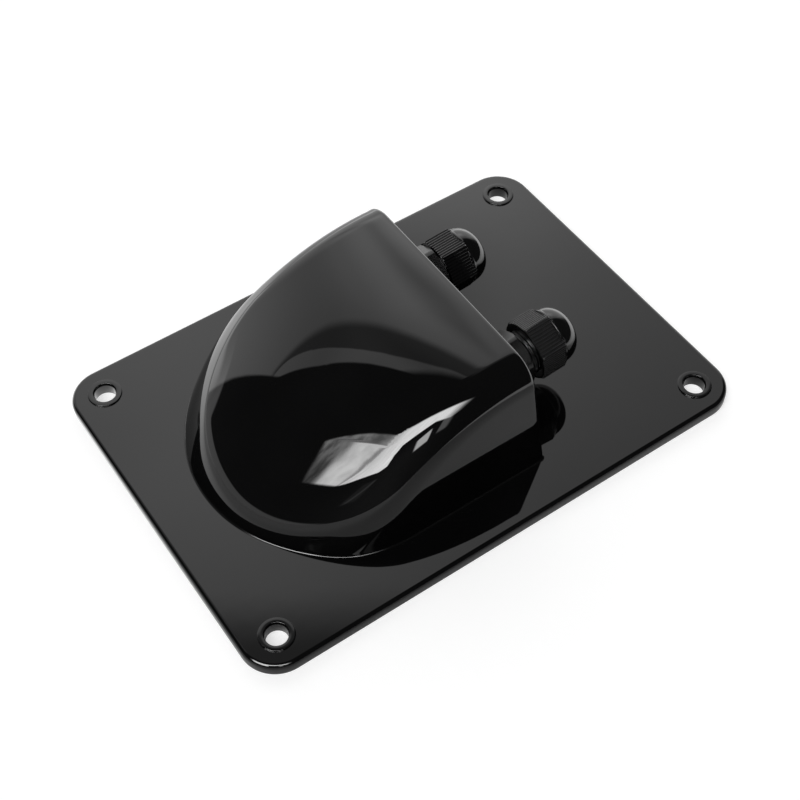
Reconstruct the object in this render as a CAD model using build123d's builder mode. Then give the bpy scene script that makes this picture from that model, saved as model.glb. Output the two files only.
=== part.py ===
from build123d import *
import math
import os

os.makedirs("parts", exist_ok=True)

# Cable entry box for a solar roof: a flange with a hollow hood and two cable glands.
# Millimetres, underside of the flange at z = 0, glands pointing to +X.

# Base flange with a raised ring round each screw hole
flange_length = 200.0
flange_width = 140.0
flange_corner = 13.0
flange_thickness = 4.7
flange_edge = 1.5
screw_spacing_x = 175.2
screw_spacing_y = 116.8
screw_hole_radius = 3.8
ring_width = 2.2
ring_height = 0.55
ring_edge = 0.45

# Plan of the hood where its walls meet the top of the flange
hood_face_x = 24.0
hood_face_lean = 4.5
hood_length = 105.3
hood_half_width = 53.1
shoulder_centre_y = 2.6
nose_flattening = 21.8
wall_draft = 7.5
hood_wall = 3.0

# Roof of the hood: its ridge falls to the nose by a power law, its crown grows on the way
ridge_height = 45.9
ridge_rise = 0.05
ridge_drop = 44.7
ridge_power = 2.055
crown_face = 0.14
crown_nose = 6.95
crown_width = 25.0
roof_rounding = 10.0
face_rounding = 1.8

# Places of the two glands on the leaning face
gland_spacing = 48.5
gland_height = 24.55
wall_hole_clearance = 0.2

# Gland body, lengths along its axis
entry_thread_radius = 7.6
entry_thread_length = 12.5
thread_chamfer = 0.6
disc_radius = 10.2
disc_thickness = 1.8
collar_flats = 19.4
collar_trim = 0.5
collar_length = 7.0
cap_thread_radius = 8.1
cap_thread_length = 9.2
claw_count = 8
claw_length = 4.5
claw_step = 0.4
claw_taper = 1.4
claw_slot_width = 1.1
claw_slot_length = 6.0
cable_bore_radius = 4.4
seal_pocket_radius = 5.2
seal_pocket_depth = 10.5

# Gasket under the disc and locknut inside the hood
gasket_thickness = 1.5
gasket_width = 2.1
gasket_clearance = 0.1
locknut_flats = 21.0
locknut_trim = 0.5
locknut_thickness = 5.0
locknut_fit = 0.05

# Rubber seal in the pocket
seal_bore_radius = 3.9
seal_fit = 0.05
seal_seat_gap = 0.3
seal_overhang = 2.05
seal_chamfer = 0.9

# Domed cap with ribbed flats
cap_corner_radius = 11.5
cap_hex_length = 10.8
cap_rear_chamfer = 0.5
cap_front_chamfer = 0.9
cap_thread_fit = 0.06
cap_seat_gap = 0.15
cap_inner_gap = 0.3
dome_base_radius = 10.5
dome_arc_radius = 7.6
dome_hole_radius = 4.6
dome_rim = 0.5
ribs_per_flat = 10
groove_width = 0.55
groove_depth = 0.45
groove_end = 0.9

# How far each cap is unscrewed, and how its hexagon stands
left_cap_out = 0.0
left_cap_turn = 52.75
right_cap_out = 3.0
right_cap_turn = 30.0

# Values that follow
nose_x = hood_face_x - hood_length
roof_start_x = hood_face_x - hood_wall
roof_run = roof_start_x - nose_x
shoulder_radius = hood_half_width - shoulder_centre_y
nose_radius = shoulder_radius + nose_flattening
nose_centre_x = nose_x + nose_radius
shoulder_centre_x = nose_centre_x - math.sqrt(nose_flattening**2 - shoulder_centre_y**2)
join_angle = math.atan2(shoulder_centre_y, nose_centre_x - shoulder_centre_x)
join_x = nose_centre_x - nose_radius * math.cos(join_angle)
join_y = nose_radius * math.sin(join_angle)
middle_angle = (math.pi / 2 + join_angle) / 2
middle_x = shoulder_centre_x - shoulder_radius * math.cos(middle_angle)
middle_y = shoulder_centre_y + shoulder_radius * math.sin(middle_angle)
back_x = hood_face_x + roof_rounding
footing = 2 * roof_rounding
footing_spread = footing * math.tan(math.radians(wall_draft))
block_height = footing + ridge_height + roof_rounding
lean = math.radians(hood_face_lean)


def roof_height(x, y):
    """Height of the roof above the underside of the flange."""
    way = max(roof_start_x - x, 0.0)
    share = (way / roof_run) ** ridge_power
    ridge = ridge_height + ridge_rise * way - ridge_drop * share
    crown = (crown_face + crown_nose * share) * (y / crown_width) ** 2
    return flange_thickness + ridge - crown


def roof_sheet(depth):
    """Roof surface, moved inwards by a depth along its normal."""
    step = 0.01
    first_x = hood_face_x + 1.5 * roof_rounding
    last_x = nose_x - 2.5 * roof_rounding
    rows = []
    for i in range(19):
        x = first_x + (last_x - first_x) * i / 18
        row = []
        for j in range(15):
            y = (j / 7 - 1) * (hood_half_width + roof_rounding)
            slope_x = (roof_height(x + step, y) - roof_height(x - step, y)) / (2 * step)
            slope_y = (roof_height(x, y + step) - roof_height(x, y - step)) / (2 * step)
            size = math.sqrt(1 + slope_x**2 + slope_y**2)
            z = roof_height(x, y) - depth / size
            row.append((x + depth * slope_x / size, y + depth * slope_y / size, z))
        rows.append(row)
    return Face.make_surface_from_array_of_points(rows, tol=0.02, min_deg=3, max_deg=5)


# Leaning gland face, the inside of its wall, and a plane at each gland
face_axis = Vector(math.cos(lean), 0, math.sin(lean))
face_plane = Plane(origin=(hood_face_x, 0, flange_thickness), x_dir=(0, 1, 0), z_dir=face_axis)
inner_face_plane = face_plane.offset(-hood_wall)
gland_x = hood_face_x - (gland_height - flange_thickness) * math.tan(lean)
left_plane = Plane(origin=(gland_x, gland_spacing / 2, gland_height), x_dir=(0, 1, 0), z_dir=face_axis)
right_plane = Plane(origin=(gland_x, -gland_spacing / 2, gland_height), x_dir=(0, 1, 0), z_dir=face_axis)

# Outside of the hood, carried below the flange so that its rounding runs out cleanly
with BuildPart() as hood_form:
    with BuildSketch(Plane.XY.offset(flange_thickness - footing)):
        with BuildLine():
            Line((back_x, hood_half_width), (shoulder_centre_x, hood_half_width))
            ThreePointArc((shoulder_centre_x, hood_half_width), (middle_x, middle_y), (join_x, join_y))
            ThreePointArc((join_x, join_y), (nose_x, 0), (join_x, -join_y))
            ThreePointArc((join_x, -join_y), (middle_x, -middle_y), (shoulder_centre_x, -hood_half_width))
            Line((shoulder_centre_x, -hood_half_width), (back_x, -hood_half_width))
            Line((back_x, -hood_half_width), (back_x, hood_half_width))
        make_face()
        offset(amount=footing_spread)
    extrude(amount=block_height, taper=wall_draft)
    split(bisect_by=face_plane, keep=Keep.BOTTOM)
    add(Solid.extrude(roof_sheet(0), Vector(0, 0, 2 * block_height)), mode=Mode.SUBTRACT)
    roof = hood_form.faces().filter_by(GeomType.BSPLINE).sort_by(SortBy.AREA)[-1]
    front = hood_form.faces().filter_by(Plane(origin=(0, 0, 0), z_dir=face_axis)).sort_by(Axis.X)[-1]
    fillet([e for e in roof.edges() if e not in front.edges()], radius=roof_rounding)
    front = hood_form.faces().filter_by(Plane(origin=(0, 0, 0), z_dir=face_axis)).sort_by(Axis.X)[-1]
    fillet(front.edges().filter_by_position(Axis.Z, 0, 2 * block_height), radius=face_rounding)
    split(bisect_by=Plane.XY.offset(flange_thickness / 2), keep=Keep.TOP)

# Space inside the hood, one wall thickness further in
with BuildPart() as cavity_form:
    with BuildSketch(Plane.XY.offset(flange_thickness - footing)):
        with BuildLine():
            Line((back_x, hood_half_width), (shoulder_centre_x, hood_half_width))
            ThreePointArc((shoulder_centre_x, hood_half_width), (middle_x, middle_y), (join_x, join_y))
            ThreePointArc((join_x, join_y), (nose_x, 0), (join_x, -join_y))
            ThreePointArc((join_x, -join_y), (middle_x, -middle_y), (shoulder_centre_x, -hood_half_width))
            Line((shoulder_centre_x, -hood_half_width), (back_x, -hood_half_width))
            Line((back_x, -hood_half_width), (back_x, hood_half_width))
        make_face()
        offset(amount=footing_spread - hood_wall)
    extrude(amount=block_height, taper=wall_draft)
    split(bisect_by=inner_face_plane, keep=Keep.BOTTOM)
    add(Solid.extrude(roof_sheet(hood_wall), Vector(0, 0, 2 * block_height)), mode=Mode.SUBTRACT)
    roof = cavity_form.faces().filter_by(GeomType.BSPLINE).sort_by(SortBy.AREA)[-1]
    front = cavity_form.faces().filter_by(Plane(origin=(0, 0, 0), z_dir=face_axis)).sort_by(Axis.X)[-1]
    fillet([e for e in roof.edges() if e not in front.edges()], radius=roof_rounding - hood_wall)

# Housing: flange, rings, hood, its inside, screw holes and gland holes in one moulding
with BuildPart() as housing:
    with BuildSketch():
        RectangleRounded(flange_length, flange_width, flange_corner)
    extrude(amount=flange_thickness)
    fillet(housing.faces().sort_by(Axis.Z)[-1].edges(), radius=flange_edge)
    with BuildSketch(Plane.XY.offset(flange_thickness)):
        with GridLocations(screw_spacing_x, screw_spacing_y, 2, 2):
            Circle(screw_hole_radius + ring_width)
    rings = extrude(amount=ring_height)
    fillet(housing.faces().sort_by(Axis.Z)[-4:].edges(), radius=ring_edge)
    add(hood_form.part)
    add(cavity_form.part, mode=Mode.SUBTRACT)
    with BuildSketch():
        with GridLocations(screw_spacing_x, screw_spacing_y, 2, 2):
            Circle(screw_hole_radius)
    extrude(amount=flange_thickness + ring_height, mode=Mode.SUBTRACT)
    with BuildSketch(left_plane, right_plane):
        Circle(entry_thread_radius + wall_hole_clearance)
    extrude(amount=2 * hood_wall, both=True, mode=Mode.SUBTRACT)
housing.part.label = "housing"
export_step(housing.part, "parts/housing.step")

# Gland body along its own axis: s = 0 on the gland face, +Z outwards
disc_rear = gasket_thickness
collar_rear = disc_rear + disc_thickness
collar_front = collar_rear + collar_length
neck_front = collar_front + cap_thread_length
claw_front = neck_front + claw_length
pocket_floor = claw_front - seal_pocket_depth
entry_front = disc_rear - entry_thread_length
claw_root_radius = cap_thread_radius - claw_step
claw_tip_radius = claw_root_radius - claw_taper

with BuildPart() as gland_body_form:
    with BuildSketch(Plane.XZ):
        Polygon(
            (cable_bore_radius, entry_front),
            (entry_thread_radius - thread_chamfer, entry_front),
            (entry_thread_radius, entry_front + thread_chamfer),
            (entry_thread_radius, disc_rear),
            (disc_radius, disc_rear),
            (disc_radius, collar_rear),
            (cap_thread_radius, collar_rear),
            (cap_thread_radius, neck_front - thread_chamfer / 2),
            (claw_root_radius, neck_front),
            (claw_tip_radius, claw_front),
            (seal_pocket_radius, claw_front),
            (seal_pocket_radius, pocket_floor),
            (cable_bore_radius, pocket_floor),
            align=None,
        )
    revolve(axis=Axis.Z)
    with BuildSketch(Plane.XY.offset(collar_rear)):
        RegularPolygon(collar_flats / 2, 6, major_radius=False, rotation=30)
        Circle(collar_flats / math.sqrt(3) - collar_trim, mode=Mode.INTERSECT)
        Circle(cap_thread_radius, mode=Mode.SUBTRACT)
    extrude(amount=collar_length)
    with BuildSketch(Plane.XY.offset(claw_front)):
        with PolarLocations(claw_root_radius, claw_count):
            Rectangle(2 * claw_root_radius, claw_slot_width)
        Circle(seal_pocket_radius / 2, mode=Mode.SUBTRACT)
    extrude(amount=-claw_slot_length, mode=Mode.SUBTRACT)

# Flat washer between the disc and the gland face
with BuildPart() as gasket_form:
    with BuildSketch():
        Circle(entry_thread_radius + gasket_clearance + gasket_width)
        Circle(entry_thread_radius + gasket_clearance, mode=Mode.SUBTRACT)
    extrude(amount=gasket_thickness)

# Hexagon locknut on the entry thread, tight on the inside of the wall
with BuildPart() as locknut_form:
    with BuildSketch(Plane.XY.offset(-hood_wall)):
        RegularPolygon(locknut_flats / 2, 6, major_radius=False)
        Circle(locknut_flats / math.sqrt(3) - locknut_trim, mode=Mode.INTERSECT)
        Circle(entry_thread_radius + locknut_fit, mode=Mode.SUBTRACT)
    extrude(amount=-locknut_thickness)

# Rubber sleeve with a bevelled mouth, for a cap that is done up
seal_radius = seal_pocket_radius - seal_fit
seal_rear = pocket_floor + seal_seat_gap
seal_front = claw_front + seal_overhang

with BuildPart() as seal_form:
    with BuildSketch(Plane.XZ):
        Polygon(
            (seal_bore_radius, seal_rear),
            (seal_radius, seal_rear),
            (seal_radius, seal_front - seal_chamfer),
            (seal_radius - seal_chamfer, seal_front),
            (seal_bore_radius, seal_front),
            align=None,
        )
    revolve(axis=Axis.Z)

# Cap, for a cap that is done up: ribbed hexagon, dome, thread and the cones that press claws and seal
cap_rear = collar_front + cap_seat_gap
hex_front = cap_rear + cap_hex_length
cap_flats = cap_corner_radius * math.sqrt(3)
cap_bore_radius = cap_thread_radius + cap_thread_fit
dome_centre_radius = dome_base_radius - dome_arc_radius
dome_tip = hex_front + math.sqrt(dome_arc_radius**2 - (dome_hole_radius + dome_rim - dome_centre_radius) ** 2)
dome_middle_angle = math.atan2(dome_tip - hex_front, dome_hole_radius + dome_rim - dome_centre_radius) / 2
dome_middle = (
    dome_centre_radius + dome_arc_radius * math.cos(dome_middle_angle),
    hex_front + dome_arc_radius * math.sin(dome_middle_angle),
)
claw_slope = claw_taper / claw_length
cone_root = claw_root_radius + cap_inner_gap * math.sqrt(1 + claw_slope**2)
claw_sum = claw_tip_radius + claw_front
seal_sum = seal_radius + seal_front - seal_chamfer
cone_sum = max(claw_sum, seal_sum) + cap_inner_gap * math.sqrt(2)
cone_start = neck_front + cap_inner_gap
cone_turn = (cone_sum - cone_root - claw_slope * neck_front) / (1 - claw_slope)

with BuildPart() as cap_form:
    with BuildSketch(Plane.XY.offset(cap_rear)):
        RegularPolygon(cap_corner_radius, 6)
    extrude(amount=cap_hex_length)
    with BuildSketch(Plane.XZ):
        Polygon(
            (0, cap_rear),
            (cap_corner_radius - cap_rear_chamfer, cap_rear),
            (cap_corner_radius, cap_rear + cap_rear_chamfer),
            (cap_corner_radius, hex_front - cap_front_chamfer),
            (cap_corner_radius - cap_front_chamfer, hex_front),
            (0, hex_front),
            align=None,
        )
    revolve(axis=Axis.Z, mode=Mode.INTERSECT)
    with BuildSketch(Plane.XY.offset(cap_rear)):
        with PolarLocations(cap_flats / 2 - groove_depth / 2, 6, start_angle=30):
            with GridLocations(0, cap_corner_radius / ribs_per_flat, 1, ribs_per_flat):
                Rectangle(groove_depth, groove_width)
    extrude(amount=cap_hex_length - groove_end, mode=Mode.SUBTRACT)
    with BuildSketch(Plane.XZ):
        with BuildLine():
            Line((0, hex_front - cap_front_chamfer), (dome_base_radius, hex_front - cap_front_chamfer))
            Line((dome_base_radius, hex_front - cap_front_chamfer), (dome_base_radius, hex_front))
            ThreePointArc(
                (dome_base_radius, hex_front),
                dome_middle,
                (dome_hole_radius + dome_rim, dome_tip),
            )
            Line((dome_hole_radius + dome_rim, dome_tip), (0, dome_tip))
            Line((0, dome_tip), (0, hex_front - cap_front_chamfer))
        make_face()
    revolve(axis=Axis.Z)
    with BuildSketch(Plane.XZ):
        Polygon(
            (0, cap_rear),
            (cap_bore_radius + thread_chamfer, cap_rear),
            (cap_bore_radius, cap_rear + thread_chamfer),
            (cap_bore_radius, cone_start),
            (cone_root - claw_slope * (cone_start - neck_front), cone_start),
            (cone_root - claw_slope * (cone_turn - neck_front), cone_turn),
            (dome_hole_radius, cone_sum - dome_hole_radius),
            (dome_hole_radius, dome_tip),
            (0, dome_tip),
            align=None,
        )
    revolve(axis=Axis.Z, mode=Mode.SUBTRACT)

# Left gland, the one on the +Y side
with BuildPart() as left_gland_body:
    add(gland_body_form.part.moved(left_plane.location))
left_gland_body.part.label = "left_gland_body"
export_step(left_gland_body.part, "parts/left_gland_body.step")

with BuildPart() as left_gland_gasket:
    add(gasket_form.part.moved(left_plane.location))
left_gland_gasket.part.label = "left_gland_gasket"
export_step(left_gland_gasket.part, "parts/left_gland_gasket.step")

with BuildPart() as left_gland_locknut:
    add(locknut_form.part.moved(left_plane.location))
left_gland_locknut.part.label = "left_gland_locknut"
export_step(left_gland_locknut.part, "parts/left_gland_locknut.step")

with BuildPart() as left_gland_seal:
    add(seal_form.part.moved(left_plane.offset(left_cap_out).location))
left_gland_seal.part.label = "left_gland_seal"
export_step(left_gland_seal.part, "parts/left_gland_seal.step")

with BuildPart() as left_gland_cap:
    add(cap_form.part.moved(left_plane.offset(left_cap_out).location * Rot(0, 0, left_cap_turn)))
left_gland_cap.part.label = "left_gland_cap"
export_step(left_gland_cap.part, "parts/left_gland_cap.step")

# Right gland, the one on the -Y side, with its cap partly unscrewed
with BuildPart() as right_gland_body:
    add(gland_body_form.part.moved(right_plane.location))
right_gland_body.part.label = "right_gland_body"
export_step(right_gland_body.part, "parts/right_gland_body.step")

with BuildPart() as right_gland_gasket:
    add(gasket_form.part.moved(right_plane.location))
right_gland_gasket.part.label = "right_gland_gasket"
export_step(right_gland_gasket.part, "parts/right_gland_gasket.step")

with BuildPart() as right_gland_locknut:
    add(locknut_form.part.moved(right_plane.location))
right_gland_locknut.part.label = "right_gland_locknut"
export_step(right_gland_locknut.part, "parts/right_gland_locknut.step")

with BuildPart() as right_gland_seal:
    add(seal_form.part.moved(right_plane.offset(right_cap_out).location))
right_gland_seal.part.label = "right_gland_seal"
export_step(right_gland_seal.part, "parts/right_gland_seal.step")

with BuildPart() as right_gland_cap:
    add(cap_form.part.moved(right_plane.offset(right_cap_out).location * Rot(0, 0, right_cap_turn)))
right_gland_cap.part.label = "right_gland_cap"
export_step(right_gland_cap.part, "parts/right_gland_cap.step")
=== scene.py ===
import bpy
import bmesh
import math
import numpy as np
from mathutils import Matrix


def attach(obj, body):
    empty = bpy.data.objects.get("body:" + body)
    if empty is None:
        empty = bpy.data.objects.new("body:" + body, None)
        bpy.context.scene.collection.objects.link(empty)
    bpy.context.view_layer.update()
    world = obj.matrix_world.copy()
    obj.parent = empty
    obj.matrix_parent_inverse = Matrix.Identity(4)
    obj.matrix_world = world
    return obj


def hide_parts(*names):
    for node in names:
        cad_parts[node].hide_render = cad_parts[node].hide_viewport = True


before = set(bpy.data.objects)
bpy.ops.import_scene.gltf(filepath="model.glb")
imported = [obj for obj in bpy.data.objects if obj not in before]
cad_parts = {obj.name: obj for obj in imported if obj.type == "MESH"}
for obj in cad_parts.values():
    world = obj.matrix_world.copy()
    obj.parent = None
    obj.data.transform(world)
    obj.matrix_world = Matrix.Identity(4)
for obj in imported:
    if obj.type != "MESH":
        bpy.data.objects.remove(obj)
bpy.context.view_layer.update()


# Housing: one injection moulding in glossy black ABS, a flat flange with four screw holes and a
# hollow hood with a leaning gland face. Its walls are drafted, its roof falls to the nose and every
# outer edge is rounded by a ball, so the surface is found along rays from a line inside the hood.
flange_half_x, flange_half_y = 100.0, 70.0
flange_corner, flange_top, flange_rounding = 13.0, 4.7, 1.5
screw_x, screw_y, screw_hole = 87.6, 58.4, 3.8
hood_face_x, nose_x, hood_half_width = 24.0, -81.3, 53.1
face_lean, wall_draft = math.radians(4.5), math.tan(math.radians(7.5))
shoulder_y, nose_flattening = 2.6, 21.8
shoulder_radius = hood_half_width - shoulder_y
nose_radius = shoulder_radius + nose_flattening
nose_centre_x = nose_x + nose_radius
shoulder_x = nose_centre_x - math.sqrt(nose_flattening**2 - shoulder_y**2)
hood_wall = 3.0
roof_ball, face_ball, foot_ball = 10.0, 1.8, 0.6
roof_start_x = 21.0
ridge_height, ridge_rise, ridge_fall, ridge_power = 45.9, 0.05, 44.7, 2.055
crown_sag, crown_growth, crown_reach = 0.14, 6.95, 25.0
gland_height, gland_half_spacing, gland_hole = 24.55, 24.25, 7.8
forward, side_way, up = np.eye(3)
face_normal = np.array([math.cos(face_lean), 0.0, math.sin(face_lean)])
face_up = np.array([-math.sin(face_lean), 0.0, math.cos(face_lean)])
face_foot = np.array([hood_face_x, 0.0, flange_top])
gland_x = hood_face_x - (gland_height - flange_top) * math.tan(face_lean)
gland_places = {
    "left": np.array([gland_x, gland_half_spacing, gland_height]),
    "right": np.array([gland_x, -gland_half_spacing, gland_height]),
}


def roll_ball(a, b, radius):
    """Joins two distances so that their corner is rounded as by a ball of that radius inside it."""
    corner = np.hypot(np.maximum(a + radius, 0), np.maximum(b + radius, 0))
    return np.minimum(np.maximum(a, b), -radius) + corner


def hood_distance(p):
    """Distance in mm to the hood's walls and roof, negative inside. The plan is straight sides, two
    shoulder arcs and a nose arc, drawn in by the draft with height. The roof is a ridge that falls
    by a power of the way to the nose, less a crown that grows with it. A ball joins the two."""
    x, y, z = p[..., 0], np.abs(p[..., 1]), p[..., 2]
    past_shoulder = (x - nose_centre_x) * shoulder_y - y * (shoulder_x - nose_centre_x) < 0
    shoulder = np.hypot(x - shoulder_x, y - shoulder_y) - shoulder_radius
    side = np.where(x < shoulder_x, shoulder, y - hood_half_width)
    nose = np.hypot(x - nose_centre_x, y) - nose_radius
    plan = np.where(past_shoulder & (x < nose_centre_x), nose, side)
    wall = (plan + (z - flange_top) * wall_draft) / math.sqrt(1 + wall_draft**2)
    way = np.maximum(roof_start_x - x, 0)
    run = roof_start_x - nose_x
    share = (way / run) ** ridge_power
    steep = ridge_power * (way / run) ** (ridge_power - 1) / run
    across = (y / crown_reach) ** 2
    crown = crown_sag + crown_growth * share
    roof = flange_top + ridge_height + ridge_rise * way - ridge_fall * share - crown * across
    slope_x = ridge_rise - (ridge_fall + crown_growth * across) * steep
    slope_y = 2 * crown * y / crown_reach**2
    top = (z - roof) / np.sqrt(1 + slope_x**2 + slope_y**2)
    return roll_ball(wall, top, roof_ball)


def shell_distance(p):
    """Distance in mm to the hood with its leaning gland face, whose edge a small ball rounds."""
    return roll_ball(hood_distance(p), (p - face_foot) @ face_normal, face_ball)


def slope_of(field, p):
    """Gradient of a distance by central differences."""
    step = 0.01
    sides = [(field(p + step * axis) - field(p - step * axis)) / (2 * step) for axis in np.eye(3)]
    return np.stack(sides, axis=-1)


def unit(v):
    """Vectors brought to length 1."""
    return v / np.linalg.norm(v, axis=-1, keepdims=True)


def ray_to(field, start, way, level):
    """Point on each ray where a distance takes that level, found by halving the ray."""
    longest, halvings = 170.0, 44
    near = np.zeros(way.shape[:-1])
    far = near + longest
    for _ in range(halvings):
        middle = (near + far) / 2
        inside = field(start + middle[..., None] * way) < level
        near = np.where(inside, middle, near)
        far = np.where(inside, far, middle)
    return start + near[..., None] * way


def arc_between(centre, radius, first, last, steps):
    """Rows of points round a centre, turning evenly from one unit direction to another."""
    turn = np.arccos(np.clip(np.sum(first * last, axis=-1), -1, 1))[None, :, None]
    share = np.linspace(0, 1, steps + 1)[:, None, None]
    way = np.sin((1 - share) * turn) * first[None] + np.sin(share * turn) * last[None]
    return centre[None] + radius * way / np.sin(turn)


def hood_sheets(level, start_z, behind_face, rounding, rows, turns, slices):
    """The nose as a fan of rays round its upright axis and the straight part as slices, both at one
    level of the hood's distance and with rows of rays at those lifts in degrees. The last slice is
    where the rounded edge of the gland face begins. Third come the centres of the edge's ball."""
    lift = np.radians(rows)
    round_nose = np.radians(np.linspace(90, 270, turns + 1))
    fan = [
        np.cos(lift)[:, None] * np.cos(round_nose)[None],
        np.cos(lift)[:, None] * np.sin(round_nose)[None],
        np.sin(lift)[:, None] * np.ones_like(round_nose)[None],
    ]
    nose_start = np.array([shoulder_x, 0.0, start_z])
    nose = ray_to(hood_distance, nose_start, np.stack(fan, axis=-1), level)
    both = np.concatenate([lift, np.pi - lift[-2::-1]])
    in_face = np.cos(both)[:, None] * side_way + np.sin(both)[:, None] * face_up
    end_x = hood_face_x - (start_z - flange_top) * math.tan(face_lean)
    end_start = np.array([end_x - behind_face / math.cos(face_lean), 0.0, start_z])
    centres = ray_to(hood_distance, end_start, in_face, level - rounding)
    end = centres + rounding * unit(slope_of(hood_distance, centres))
    first = np.concatenate([nose[:, 0], nose[-2::-1, -1]])
    share = np.linspace(0, 1, slices + 1)[:, None, None]
    aim = (1 - share) * first[None] + share * end[None]
    start = (1 - share) * nose_start + share * end_start
    straight = ray_to(hood_distance, start, unit(aim - start), level)
    straight[0], straight[-1] = first, end
    return nose, straight, centres


def sheet_faces(rows, columns, closed):
    """Corner numbers of the quads of a grid of points, its columns closed into a ring if asked."""
    here = np.arange(rows - 1)[:, None] * columns
    below = here + columns
    along = np.arange(columns if closed else columns - 1)[None]
    after = (along + 1) % columns
    quads = [here + along, here + after, below + after, below + along]
    return np.stack(quads, axis=-1).reshape(-1, 4)


def mesh_of(name, sheets, fills=()):
    """One closed mesh from grids of points in mm: equal points are welded, each open outline that
    lies on a plane (point, normal) is filled flat, and the faces are turned outwards."""
    weld, off_plane, sharp = 0.002, 0.003, math.radians(35.0)
    points, faces, count = [], [], 0
    for sheet, closed in sheets:
        points.append(sheet.reshape(-1, 3))
        faces.append(sheet_faces(sheet.shape[0], sheet.shape[1], closed) + count)
        count += points[-1].shape[0]
    mesh = bpy.data.meshes.new(name)
    mesh.from_pydata((np.concatenate(points) / 1000).tolist(), [], np.concatenate(faces).tolist())
    work = bmesh.new()
    work.from_mesh(mesh)
    bmesh.ops.remove_doubles(work, verts=work.verts, dist=weld / 1000)
    bmesh.ops.dissolve_degenerate(work, edges=work.edges, dist=weld / 2000)
    for foot, normal in fills:
        open_edges = [
            e for e in work.edges
            if len(e.link_faces) < 2
            and all(abs(np.dot(np.array(v.co) * 1000 - foot, normal)) < off_plane for v in e.verts)
        ]
        bmesh.ops.triangle_fill(work, use_beauty=True, edges=open_edges, normal=tuple(normal))
    bmesh.ops.recalc_face_normals(work, faces=work.faces)
    work.to_mesh(mesh)
    work.free()
    mesh.shade_smooth()
    mesh.set_sharp_from_angle(angle=sharp)
    piece = bpy.data.objects.new(name, mesh)
    bpy.context.scene.collection.objects.link(piece)
    return piece


# Outside of the hood, with the rounded edge of its gland face, down to near its foot
outer_rows = np.concatenate(
    [[0.45], np.linspace(1.3, 24, 34), np.linspace(24.7, 50, 46), np.linspace(51, 90, 34)]
)
nose_sheet, straight_sheet, edge_centres = hood_sheets(
    level=0.0,
    start_z=flange_top,
    behind_face=face_ball,
    rounding=face_ball,
    rows=outer_rows,
    turns=150,
    slices=36,
)
edge_first = unit(slope_of(hood_distance, edge_centres))
edge_last = np.broadcast_to(face_normal, edge_first.shape)
face_edge_sheet = arc_between(edge_centres, face_ball, edge_first, edge_last, steps=9)
bottom_rise = 0.46
bottom_y = np.linspace(face_edge_sheet[-1, 0, 1], face_edge_sheet[-1, -1, 1], 41)
face_bottom = face_foot + bottom_y[:, None] * side_way + bottom_rise * face_up

# The foot: a small ball rolled round the corner between the hood and the flange. Its centres move
# along the slope of the distance until the ball touches the hood, and the sheets then end where it
# touches. Here and elsewhere a narrow strip beside an edge keeps the shading of the flat even.
strip, touch_steps = 0.05, 30
foot_parts = [
    nose_sheet[0],
    straight_sheet[1:, -1],
    face_edge_sheet[1:, -1],
    face_bottom[-2:0:-1],
    face_edge_sheet[::-1, 0],
    straight_sheet[-2:0:-1, 0],
]
foot_centres = np.concatenate(foot_parts)
foot_centres[:, 2] = flange_top + foot_ball
for _ in range(touch_steps):
    flat = slope_of(shell_distance, foot_centres)[:, :2]
    step = (shell_distance(foot_centres) - foot_ball) / np.sum(flat**2, axis=-1)
    foot_centres[:, :2] -= step[:, None] * flat
foot_normal = unit(slope_of(shell_distance, foot_centres))
foot_last = np.broadcast_to(-up, foot_normal.shape)
foot_sheet = arc_between(foot_centres, foot_ball, -foot_normal, foot_last, steps=5)
foot_out = unit(foot_normal * (forward + side_way))
foot_sheet = np.concatenate([foot_sheet, foot_sheet[-1:] + strip * foot_out[None]])
foot_lines = np.split(foot_sheet[0], np.cumsum([len(part) for part in foot_parts])[:-1])
for part, line in zip(foot_parts, foot_lines):
    part[:] = line
straight_sheet[0, 0], straight_sheet[0, -1] = nose_sheet[0, 0], nose_sheet[0, -1]
straight_sheet[-1, 0], face_edge_sheet[0, -1] = face_edge_sheet[0, 0], straight_sheet[-1, -1]


def loop_inward(loop, normal, inset):
    """A closed outline in a plane and the same outline moved in by a little, as two rows."""
    along = unit(np.roll(loop, -1, axis=0) - np.roll(loop, 1, axis=0))
    inward = np.cross(normal, along)
    middle = loop.mean(axis=0)
    sign = np.sign(np.sum(inward * (middle - loop), axis=-1).sum())
    return np.stack([loop, loop + sign * inset * inward])


def angles_round(count):
    """That many even angles round a circle."""
    return np.arange(count) * 2 * np.pi / count


def ring_of(centre, radius, across, upright):
    """Points on a circle."""
    angle = angles_round(64)[:, None]
    return centre + radius * (np.cos(angle) * across + np.sin(angle) * upright)


def turned_profile(centre, profile):
    """A profile of (radius, height) turned round an upright line."""
    return np.stack([ring_of(centre + z * up, radius, forward, side_way) for radius, z in profile])


def flange_outline(inset, height):
    """Outline of the flange at an inset and a height, its corners as true arcs."""
    turn = np.linspace(0, np.pi / 2, 25)[None] + (np.arange(4) * np.pi / 2)[:, None]
    quadrant = np.array([[1, 1], [-1, 1], [-1, -1], [1, -1]])
    centre = quadrant * np.array([flange_half_x - flange_corner, flange_half_y - flange_corner])
    radius = flange_corner - inset
    x = (centre[:, :1] + radius * np.cos(turn)).ravel()
    y = (centre[:, 1:] + radius * np.sin(turn)).ravel()
    return np.stack([x, y, np.full_like(x, height)], axis=-1)


def arc_points(centre, radius, first, last, steps):
    """Points (radius, height) on an arc between two angles in degrees."""
    angle = np.radians(np.linspace(first, last, steps + 1))
    return [(centre[0] + radius * math.cos(a), centre[1] + radius * math.sin(a)) for a in angle]


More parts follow.
